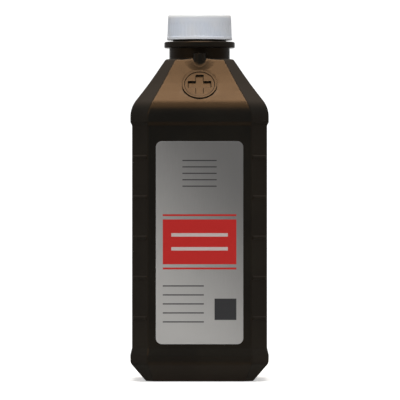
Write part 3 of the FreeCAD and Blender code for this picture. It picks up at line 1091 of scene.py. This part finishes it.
    def neck_rows(self, angles: np.ndarray) -> np.ndarray:
        """Return the rows of the neck, with the thread on its finish.

        Args:
            angles: angle of each column.

        Returns:
            Points from the crown over the lip into the throat: rows, columns and three axes.
        """
        neck = circles(self.neck_path(), angles)
        turn = np.mod(angles, FULL_TURN)[None, :]
        radius = np.hypot(neck[..., 0], neck[..., 1])
        on_finish = (np.abs(radius - self.finish) < NEAR) & (neck[..., 2] > self.ring_head)
        grown = 1.0 + on_finish * self.thread.relief(turn, neck[..., 2]) / radius
        neck[..., :2] *= grown[..., None]
        return neck

    def floor_rows(self, angles: np.ndarray) -> np.ndarray:
        """Return the rows of the floor inside, which follows the hollow under the base.

        Args:
            angles: angle of each column.

        Returns:
            Points from its edge to its middle: rows, columns and three axes.
        """
        height = self.push_rise + self.wall
        edge = circles(np.array([[self.push_radius + self.wall, self.wall + self.inner_gap]]), angles)
        raised = circles(np.array([
            [self.push_radius - self.push_slope + self.wall, height],
            [0.5 * self.push_radius, height],
            [0.0, height],
        ]), angles)
        return np.concatenate([edge, between(edge[0], raised[0], count=2), raised])

    def shell(self) -> Skin:
        """Join the base, body, neck and inside into one closed skin.

        Returns:
            The skin of the shell.
        """
        boss = Boss(self)
        body = boss.make_room(self.outer_body())
        inside = boss.make_room(self.inner_body())
        angles = np.arctan2(body[-1, :, 1], body[-1, :, 0])
        base = self.base_rows(angles)
        neck = self.neck_rows(angles)
        return Skin(np.concatenate([
            base,
            between(base[-1], body[0], count=2),
            body,
            between(body[-1], neck[0], count=2),
            neck,
            between(neck[-1], inside[0], count=1),
            inside,
            self.floor_rows(angles),
        ]))

    def shoulder_height(self, reach: np.ndarray) -> np.ndarray:
        """Return the height of the front shoulder, which is level over the crown.

        Args:
            reach: distances from the axis.

        Returns:
            The height at each of them.
        """
        line = self.wall_line(self.half, self.crown_half, self.shoulder)
        rise = line[line[:, 1] >= self.shoulder][::-1]
        return np.interp(reach, rise[:, 0], rise[:, 1], left=self.crown)

    def build(self, finish: MouldedBrown) -> list[bpy.types.Object]:
        """Make the shell, the boss and the lug, and dress them in the same plastic.

        Args:
            finish: the plastic.

        Returns:
            The three pieces.
        """
        plastic = finish.material()
        shell = self.shell().to_object("bottle_shell", plastic)
        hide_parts("bottle")
        boss = Boss(self).skin().to_object("shoulder_boss", plastic)
        lug = Lug(self).skin().to_object("neck_lug", plastic)
        pieces = [shell, boss, lug]
        for piece in pieces:
            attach(piece, "bottle")
        return pieces


@dataclass
class Boss:
    """The round boss on the front shoulder: a rim, a lower field and a plain sunk cross."""

    bottle: Bottle
    radius: float = 8.15
    proud: float = 0.62
    rim: float = 0.95
    field: float = 0.40
    floor: float = -0.5
    arm_reach: float = 5.4
    arm_half: float = 1.8
    soft: float = 0.16
    rim_slope: float = 0.3
    rim_land: float = 0.4
    foot_flare: float = 0.15
    wall_lean: float = 0.03
    toe: float = 0.05
    toe_rise: float = 0.04
    floor_inset: float = 0.10
    end_columns: int = 6
    side_columns: int = 12
    edge_rows: int = 5
    field_shares: tuple[float, ...] = (0.3, 0.6, 0.85, 0.95)
    floor_shares: tuple[float, ...] = (1.0, 0.93, 0.6, 0.3, 0.0)
    drop: float = 12.5
    foot: float = -0.8
    room_depth: float = 1.05
    room_reach: float = 7.4
    room_fade: float = 1.6

    def frame(self) -> tuple[np.ndarray, np.ndarray, np.ndarray]:
        """Work out where the boss lies on the front shoulder and how it leans.

        Returns:
            Its middle on the slope, the way up the slope and the way straight out of it.
        """
        lean = math.atan(self.bottle.slope)
        reach = self.bottle.crown_half + self.drop / self.bottle.slope - self.bottle.shoulder_sink
        middle = np.array([0.0, -reach, self.bottle.crown - self.drop])
        uphill = np.array([0.0, math.cos(lean), math.sin(lean)])
        outward = np.array([0.0, -math.sin(lean), math.cos(lean)])
        return middle, uphill, outward

    def make_room(self, points: np.ndarray) -> np.ndarray:
        """Press a round dip into the wall under the boss, so that the sunk cross lies free.

        The dip is as deep as the room out to a little inside the boss's rim and fades out before it.

        Args:
            points: points of the wall, with three axes last.

        Returns:
            The points, moved in along the slope's normal.
        """
        middle, uphill, outward = self.frame()
        away = points - middle
        reach = np.hypot(away[..., 0], away @ uphill)
        near = np.abs(away @ outward) < 0.5 * self.radius
        dip = self.room_depth * smooth((self.room_reach - reach) / self.room_fade) * near
        return points - dip[..., None] * outward

    def angles(self) -> np.ndarray:
        """Return the columns' angles, with one on each corner of the cross.

        Over one eighth they divide half an arm's end evenly, and then the arm's side, in to the inner
        corner.

        Returns:
            The angles, from 0 to a full turn.
        """
        end = np.linspace(0.0, self.arm_half, self.end_columns, endpoint=False)
        side = np.linspace(self.arm_reach, self.arm_half, self.side_columns)
        eighth = np.concatenate([np.arctan2(end, self.arm_reach), np.arctan2(self.arm_half, side)])
        quarter = np.concatenate([eighth, (QUARTER_TURN - eighth)[-2:0:-1]])
        return np.concatenate([quarter + QUARTER_TURN * turn for turn in range(4)])

    def cross(self, angles: np.ndarray, grown: float) -> np.ndarray:
        """Return the distance of the cross's outline from its middle, in the direction of each angle.

        Args:
            angles: the directions.
            grown: how far the outline is moved out.

        Returns:
            The nearer of the arm's end and the arm's side, in the arm's own direction.
        """
        folded = np.abs(np.mod(angles + 0.5 * QUARTER_TURN, QUARTER_TURN) - 0.5 * QUARTER_TURN)
        least_sine = 1e-6
        end = (self.arm_reach + grown) / np.cos(folded)
        side = (self.arm_half + grown) / np.maximum(np.sin(folded), least_sine)
        return np.minimum(end, side)

    def skin(self) -> Skin:
        """Lay rings of points on the slope: up the rim, into the field, down the cross and to its middle.

        Returns:
            The skin of the boss.
        """
        angles = self.angles()
        field_reach = self.radius - self.rim - self.rim_slope
        rim_path = rounded_path([
            (self.radius + self.foot_flare, self.foot, 0.0),
            (self.radius, self.proud, self.soft),
            (self.radius - self.rim, self.proud, self.soft),
            (field_reach, self.field, self.soft),
            (field_reach - self.rim_land, self.field, 0.0),
        ], run=0.3, turn=12.0, support=0.05)
        rings = [(0.0 * angles, self.foot)]
        rings += [(np.full(len(angles), reach), lift) for reach, lift in rim_path]
        inner = rim_path[-1, 0]
        edge = self.cross(angles, self.soft)
        rings += [(inner + share * (edge - inner), self.field) for share in self.field_shares]
        for angle in np.linspace(0.0, QUARTER_TURN, self.edge_rows):
            grown = self.soft * (1.0 - math.sin(angle))
            rings.append((self.cross(angles, grown), self.field - self.soft * (1.0 - math.cos(angle))))
        rings.append((self.cross(angles, -self.wall_lean), 0.5 * (self.floor + self.field)))
        rings.append((self.cross(angles, -self.toe), self.floor + self.toe_rise))
        floor_edge = self.cross(angles, -self.floor_inset)
        rings += [(floor_edge * share, self.floor) for share in self.floor_shares]
        reach = np.stack([ring for ring, _ in rings])
        lift = np.array([height for _, height in rings])[:, None]
        across = reach * np.cos(angles)
        upslope = reach * np.sin(angles)
        hollow = upslope**2 / (2.0 * self.bottle.shoulder_sweep)
        middle, uphill, outward = self.frame()
        beyond = across[..., None] * np.array([1.0, 0.0, 0.0])
        return Skin(middle + beyond + upslope[..., None] * uphill + (lift + hollow)[..., None] * outward)


@dataclass
class Lug:
    """The upright round lug in front of the neck, with a flared foot on a low swelling of the shoulder.

    The swelling is oval and fades out towards the neck.
    """

    bottle: Bottle
    radius: float = 2.9
    proud: float = 1.15
    rise: float = 2.4
    top_round: float = 0.12
    flare: float = 0.75
    swell_across: float = 8.5
    swell_along: float = 4.6
    swell_lift: float = 0.8
    swell_fade: float = 3.2
    root: float = -0.9
    edge_sink: float = 0.03
    neck_overlap: float = 2.0
    arc_rows: int = 8
    swell_rows: int = 16
    side_rows: int = 4
    columns: int = 96

    @property
    def swing(self) -> np.ndarray:
        """Return the angles of the rings on a quarter arc."""
        return np.linspace(0.0, QUARTER_TURN, self.arc_rows)

    @property
    def way_in(self) -> np.ndarray:
        """Return the shares of the way in over the swelling, one for each of its rings."""
        return np.linspace(0.0, 1.0, self.swell_rows)

    def foot_reach(self, edge: float) -> np.ndarray:
        """Return how far each ring of the foot lies from the lug's axis in one direction.

        Args:
            edge: how far the swelling reaches in that direction.

        Returns:
            The root's middle and edge, the way in over the swelling, and the way up the flare.
        """
        flare_reach = self.radius + self.flare * (1.0 - np.sin(self.swing))
        swelling = edge + (flare_reach[0] - edge) * self.way_in
        return np.concatenate([[0.0, edge], swelling, flare_reach[1:]])

    def skin(self) -> Skin:
        """Stack rings about the lug's own axis: a low swelling and the flared foot follow the shoulder.

        The swelling's lift grows with the square of the way in from its oval edge to the foot. The top is
        level.

        Returns:
            The skin of the lug.
        """
        angles = even_angles(self.columns)
        axis = -(self.bottle.neck + self.proud)
        top = self.bottle.crown + self.rise
        swing, way_in = self.swing, self.way_in
        across = self.foot_reach(self.swell_across)
        along = self.foot_reach(self.swell_along)
        swell = self.swell_lift * np.concatenate([[0.0, 0.0], way_in**2, np.ones(len(swing) - 1)])
        lift = np.concatenate([
            [self.root, self.root],
            self.edge_sink * (way_in - 1.0),
            self.flare * (1.0 - np.cos(swing[1:])),
        ])
        ground_x = across[:, None] * np.cos(angles)
        ground_y = np.minimum(axis + along[:, None] * np.sin(angles), self.neck_overlap - self.bottle.neck)
        clear = smooth((np.hypot(ground_x, ground_y) - self.bottle.neck) / self.swell_fade)
        low = self.bottle.shoulder_height(np.abs(ground_y)) + lift[:, None] + swell[:, None] * clear
        low_rows = np.stack([ground_x, ground_y, low], axis=-1)
        low_rows[0] = low_rows[0, :1]
        top_path = np.stack([
            self.radius - self.top_round * (1.0 - np.cos(swing)),
            top - self.top_round * (1.0 - np.sin(swing)),
        ], axis=-1)
        top_path = np.concatenate([top_path, [[0.5 * top_path[-1, 0], top], [0.0, top]]])
        top_rows = circles(top_path, angles)
        top_rows[..., 1] += axis
        side_rows = between(low_rows[-1], top_rows[0], self.side_rows)
        return Skin(np.concatenate([low_rows, side_rows, top_rows]))


@dataclass
class ScrewCap:
    """The white screw cap: a drafted shell with a plain band, fine flutes, a lower rim and an inner thread.

    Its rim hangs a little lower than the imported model's, to follow the photo.
    """

    bore: float = 13.95
    ceiling: float = 171.5
    skirt: float = 15.3
    draft: float = 0.35
    top_round: float = 1.2
    rim_proud: float = 0.2
    skirt_drop: float = 0.3
    rim_height: float = 1.3
    rim_round: float = 0.25
    rim_step: float = 0.12
    inner_round: float = 0.15
    ceiling_round: float = 0.3
    band: float = 4.2
    flute_count: int = 48
    flute_depth: float = 0.14
    flute_columns: int = 8
    flute_gap: float = 0.15
    flute_foot_fade: float = 0.3
    flute_head_fade: float = 0.6
    thread_gap: float = 0.5
    dish: float = 0.12
    dish_inset: float = 3.0
    dish_fade: float = 1.2
    thread: Thread = Thread(start=164.3, turns=1.0, depth=0.6)

    def skin(self) -> Skin:
        """Turn the cap's outline: from the ceiling down the bore, round the rim, up and over the top.

        Returns:
            The skin of the cap, with its flutes, its thread and the dish in its top.
        """
        low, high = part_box("cap")
        foot, head = low.z / MM - self.skirt_drop, high.z / MM
        rim = self.skirt + self.rim_proud
        rim_head = foot + self.rim_height
        path = rounded_path([
            (0.0, self.ceiling, 0.0),
            (self.bore, self.ceiling, self.ceiling_round),
            (self.bore, foot, self.inner_round),
            (rim, foot, self.rim_round),
            (rim, rim_head, self.inner_round),
            (self.skirt, rim_head + self.rim_step, self.rim_step),
            (self.skirt - self.draft, head, self.top_round),
            (0.0, head, 0.0),
        ], run=0.45, turn=9.0, support=0.1)
        columns = self.flute_count * self.flute_columns
        angles = even_angles(columns)
        points = circles(path, angles)
        height = points[..., 2]
        radius = np.hypot(points[..., 0], points[..., 1])
        outside = radius > 0.5 * (self.bore + self.skirt - self.draft)
        from_foot = smooth((height - rim_head - self.flute_gap) / self.flute_foot_fade)
        to_head = smooth((head - self.band - height) / self.flute_head_fade)
        groove = np.clip(np.cos(self.flute_count * (angles + QUARTER_TURN)), 0.0, 1.0) ** 2
        carved = self.flute_depth * groove * from_foot * to_head * outside
        in_bore = (np.abs(radius - self.bore) < NEAR) & (height < self.ceiling - self.thread_gap)
        ridge = self.thread.relief(angles[None, :], height) * in_bore
        smallest = 1.0
        points[..., :2] *= (1.0 - (carved + ridge) / np.maximum(radius, smallest))[..., None]
        on_top = height > head - NEAR
        dished = smooth((self.skirt - self.dish_inset - radius) / self.dish_fade)
        points[..., 2] -= self.dish * on_top * dished
        return Skin(points)

    def build(self, finish: CapWhite) -> list[bpy.types.Object]:
        """Make the cap and dress it.

        Args:
            finish: its plastic.

        Returns:
            The cap alone.
        """
        cap = self.skin().to_object("screw_cap", finish.material())
        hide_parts("cap")
        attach(cap, "cap")
        return [cap]


@dataclass
class CapLiner:
    """The pressed board disc in the cap's top, with softly rounded edges."""

    edge_round: float = 0.18
    columns: int = 128

    def build(self, finish: LinerBoard) -> list[bpy.types.Object]:
        """Turn the disc's outline and dress it.

        Args:
            finish: its board.

        Returns:
            The liner alone.
        """
        low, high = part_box("cap_liner")
        foot, head, reach = low.z / MM, high.z / MM, high.x / MM
        path = rounded_path([
            (0.0, foot, 0.0),
            (reach, foot, self.edge_round),
            (reach, head, self.edge_round),
            (0.0, head, 0.0),
        ], run=1.2, turn=15.0, support=0.1)
        angles = even_angles(self.columns)
        liner = Skin(circles(path, angles)).to_object("liner_disc", finish.material())
        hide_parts("cap_liner")
        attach(liner, "liner")
        return [liner]


@dataclass
class FoilSeal:
    """The foil disc that is bonded to the lip: thin, with the lip's ring pressed in and a crimped edge."""

    lip_middle: float = 11.8
    pressed: float = 0.05
    pressed_width: float = 0.5
    crimp: float = 0.03
    crimp_fade: float = 0.6
    crimps: int = 60
    edge_share: float = 0.4
    columns: int = 240

    def build(self, finish: FoilMetal) -> list[bpy.types.Object]:
        """Turn the disc's outline, press the ring, crimp the edge and dress it.

        The pressed ring's depth falls off as a bell curve on both sides of the lip's middle. The crimps are
        the waves of a cosine round the edge.

        Args:
            finish: its foil.

        Returns:
            The seal alone.
        """
        low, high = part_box("foil_seal")
        foot, head, reach = low.z / MM, high.z / MM, high.x / MM
        soft = self.edge_share * (head - foot)
        path = rounded_path([
            (0.0, foot, 0.0),
            (reach, foot, soft),
            (reach, head, soft),
            (0.0, head, 0.0),
        ], run=0.4, turn=30.0, support=0.05)
        angles = even_angles(self.columns)
        points = circles(path, angles)
        radius = np.hypot(points[..., 0], points[..., 1])
        on_top = points[..., 2] > 0.5 * (foot + head)
        past_lip = radius - self.lip_middle
        ring = np.exp(-((past_lip / self.pressed_width) ** 2))
        waves = 0.5 - 0.5 * np.cos(self.crimps * angles)
        edge = smooth((past_lip - self.pressed_width) / self.crimp_fade) * waves
        points[..., 2] -= on_top * (self.pressed * ring + self.crimp * edge)
        seal = Skin(points).to_object("seal_disc", finish.material())
        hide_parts("foil_seal")
        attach(seal, "seal")
        return [seal]


@dataclass
class FrontLabel:
    """The coated film label on the front panel, with rounded corners."""

    trim: float = 0.4
    corner_round: float = 2.8
    corner_steps: int = 10
    side_steps: int = 30
    edge_soft: float = 0.03
    back_shares: tuple[float, ...] = (0.0, 0.5, 0.9, 1.0)
    edge_shares: tuple[float, ...] = (1.0,)
    front_shares: tuple[float, ...] = (0.998, 0.99, 0.8, 0.6, 0.4, 0.2, 0.0)

    def outline(self, half_x: float, half_z: float) -> np.ndarray:
        """Go round a rectangle with rounded corners.

        Each quarter is half an upright side, an arc about the corner's centre and half a level side. The
        other quarters are its mirror images.

        Args:
            half_x: half its width.
            half_z: half its height.

        Returns:
            Points of the outline, anticlockwise from the middle of the right side, as seen from the front.
        """
        knee_x, knee_z = half_x - self.corner_round, half_z - self.corner_round
        swing = np.linspace(0.0, QUARTER_TURN, self.corner_steps)
        upright = np.linspace(0.0, knee_z, self.side_steps, endpoint=False)
        level = np.linspace(knee_x, 0.0, self.side_steps)[1:]
        x = np.concatenate([0.0 * upright + half_x, knee_x + self.corner_round * np.cos(swing), level])
        z = np.concatenate([upright, knee_z + self.corner_round * np.sin(swing), 0.0 * level + half_z])
        quarter = np.stack([x, z], axis=-1)
        half = np.concatenate([quarter, quarter[-2:0:-1] * (-1.0, 1.0)])
        return np.concatenate([half, -half])

    def build(self, finish: LabelPrint) -> list[bpy.types.Object]:
        """Make the film as rings that grow over its back and shrink over its front, and dress it.

        Args:
            finish: its printed film.

        Returns:
            The label alone.
        """
        low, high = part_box("front_label")
        middle_z = 0.5 * (low.z + high.z) / MM
        back, front = high.y / MM, low.y / MM
        ring = self.outline(high.x / MM - self.trim, 0.5 * (high.z - low.z) / MM)
        rings = [(share, back) for share in self.back_shares]
        rings += [(share, front + self.edge_soft) for share in self.edge_shares]
        rings += [(share, front) for share in self.front_shares]
        shares, depth = np.array(rings).T
        flat = ring[None, :, :] * shares[:, None, None]
        across, upright = flat[..., 0], flat[..., 1]
        points = np.stack([across, depth[:, None] + 0.0 * across, middle_z + upright], axis=-1)
        label = Skin(points).to_object("label_film", finish.material())
        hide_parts("front_label")
        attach(label, "bottle")
        return [label]


class SoftBox(Enum):
    """The studio's lights: place in metres, power in watts, width and depth in metres."""

    OVERHEAD = ((0.0, -0.16, 0.95), 6.1, (0.5, 0.38))
    APRON = ((0.0, -0.62, 0.88), 2.35, (0.75, 0.4))
    LEFT = ((-1.1, -1.3, 0.9), 3.2, (0.8, 0.8))


@dataclass
class Stage:
    """The pale round floor, the soft studio lights, the bright surround and the camera.

    The sizes of the floor, the lens and the sensor are in millimetres, the other lengths in metres. The
    surround's ranges are parts of a way of length 1: X to the right, Y back and Z up.
    """

    floor_radius: float = 300.0
    floor_depth: float = 4.0
    floor_gap: float = 0.02
    floor_round: float = 1.0
    floor_columns: int = 96
    aim_height: float = 0.12
    camera_distance: float = 2.2
    camera_height: float = 0.08504
    lens: float = 417.8
    sensor: float = 36.0
    shift_x: float = 0.0011
    above_range: Span = (0.55, 1.10)
    above_lean: float = 0.35
    behind_range: Span = (0.86, 0.985)
    beside_range: Span = (0.30, 0.90)
    below_range: Span = (-0.10, -0.60)
    low_beside_range: Span = (0.15, 0.50)
    front_light: Colour = (0.10, 0.10, 0.10)
    top_light: Colour = (1.05, 0.93, 0.80)
    side_light: Colour = (0.26, 0.26, 0.26)
    low_light: Colour = (0.30, 0.31, 0.32)
    low_side_light: Colour = (0.13, 0.115, 0.09)
    back_light: Colour = (1.15, 1.15, 1.15)
    backdrop: Colour = (0.80, 0.80, 0.80)

    def build_floor(self, finish: StagePaper) -> None:
        """Turn a thin disc with a rounded edge, its top at the table's height.

        The plastic doesn't mirror the floor: in the photo the undersides of the ribs and beads stay dark.

        Args:
            finish: its paper.
        """
        path = rounded_path([
            (0.0, -self.floor_depth, 0.0),
            (self.floor_radius, -self.floor_depth, self.floor_round),
            (self.floor_radius, -self.floor_gap, self.floor_round),
            (0.0, -self.floor_gap, 0.0),
        ], run=60.0)
        angles = even_angles(self.floor_columns)
        floor = Skin(circles(path, angles)).to_object("stage_floor", finish.material())
        floor.visible_glossy = False

    def build_light(self, box: SoftBox) -> None:
        """Hang a soft box that looks at a point on the bottle's axis.

        Args:
            box: its place, power and size.
        """
        place, power, size = box.value
        data = bpy.data.lights.new(f"soft_box_{box.name.lower()}", "AREA")
        data.shape = "RECTANGLE"
        data.size, data.size_y = size
        data.energy = power
        lamp = bpy.data.objects.new(data.name, data)
        aim = np.array([0.0, 0.0, self.aim_height]) - np.array(place)
        tilt = math.acos(-aim[2] / np.linalg.norm(aim))
        turn = math.atan2(aim[1], aim[0]) - QUARTER_TURN
        lamp.location = place
        lamp.rotation_euler = (tilt, 0.0, turn)
        bpy.context.scene.collection.objects.link(lamp)

    def build_surround(self) -> None:
        """Fill the world with light: white straight behind the bottle, soft above it and dim in front.

        The camera itself sees a pale backdrop where the light is dim.
        """
        world = bpy.data.worlds.new("studio_surround")
        world.use_nodes = True
        bpy.context.scene.world = world
        sheet = ShaderSheet(world.node_tree)
        way = sheet.value("ShaderNodeTexCoord", {}, {}, output="Generated")
        split = sheet.node("ShaderNodeSeparateXYZ", {}, {0: way})
        x, y, z = (Value(sheet, output) for output in split.outputs)
        above = (z + self.above_lean * y).rise(*self.above_range)
        behind = y.rise(*self.behind_range)
        beside = abs(x).rise(*self.beside_range)
        below = z.rise(*self.below_range)
        low_beside = abs(x).rise(*self.low_beside_range)
        light = sheet.mix(beside, self.front_light, self.side_light)
        low = sheet.mix(low_beside, self.low_light, self.low_side_light)
        light = sheet.mix(below, light, low)
        light = sheet.mix(above, light, self.top_light)
        light = sheet.mix(behind, light, self.back_light)
        seen = sheet.value("ShaderNodeLightPath", {}, {}, output="Is Camera Ray")
        light = sheet.mix(seen, light, sheet.mix(behind, self.backdrop, self.back_light))
        background = sheet.node("ShaderNodeBackground", {}, {"Color": light, "Strength": 1.0})
        sheet.node("ShaderNodeOutputWorld", {}, {"Surface": background.outputs[0]})

    def build_camera(self) -> None:
        """Stand the camera straight in front of the bottle, level with its middle."""
        data = bpy.data.cameras.new("front_camera")
        data.sensor_width = self.sensor
        data.lens = self.lens
        data.shift_x = self.shift_x
        camera = bpy.data.objects.new("front_camera", data)
        camera.location = (0.0, -self.camera_distance, self.camera_height)
        camera.rotation_euler = (QUARTER_TURN, 0.0, 0.0)
        bpy.context.scene.collection.objects.link(camera)
        bpy.context.scene.camera = camera

    def build(self) -> None:
        """Set up the whole stage."""
        self.build_camera()
        self.build_floor(StagePaper())
        for box in SoftBox:
            self.build_light(box)
        self.build_surround()
        bpy.context.scene.view_settings.view_transform = "Standard"


def main() -> None:
    """Build the pieces in order, report each of them, and set up the stage."""
    logging.basicConfig(level=logging.INFO, format="%(name)s: %(message)s")
    finished = (
        (Bottle(), MouldedBrown()),
        (FrontLabel(), LabelPrint()),
        (FoilSeal(), FoilMetal()),
        (CapLiner(), LinerBoard()),
        (ScrewCap(), CapWhite()),
    )
    for assembly, finish in finished:
        for piece in assembly.build(finish):
            LOG.info("%s: %d faces", piece.name, len(piece.data.polygons))
    Stage().build()
    LOG.info("stage: floor, %d soft boxes, surround and camera", len(SoftBox))


if __name__ == "__main__":
    main()
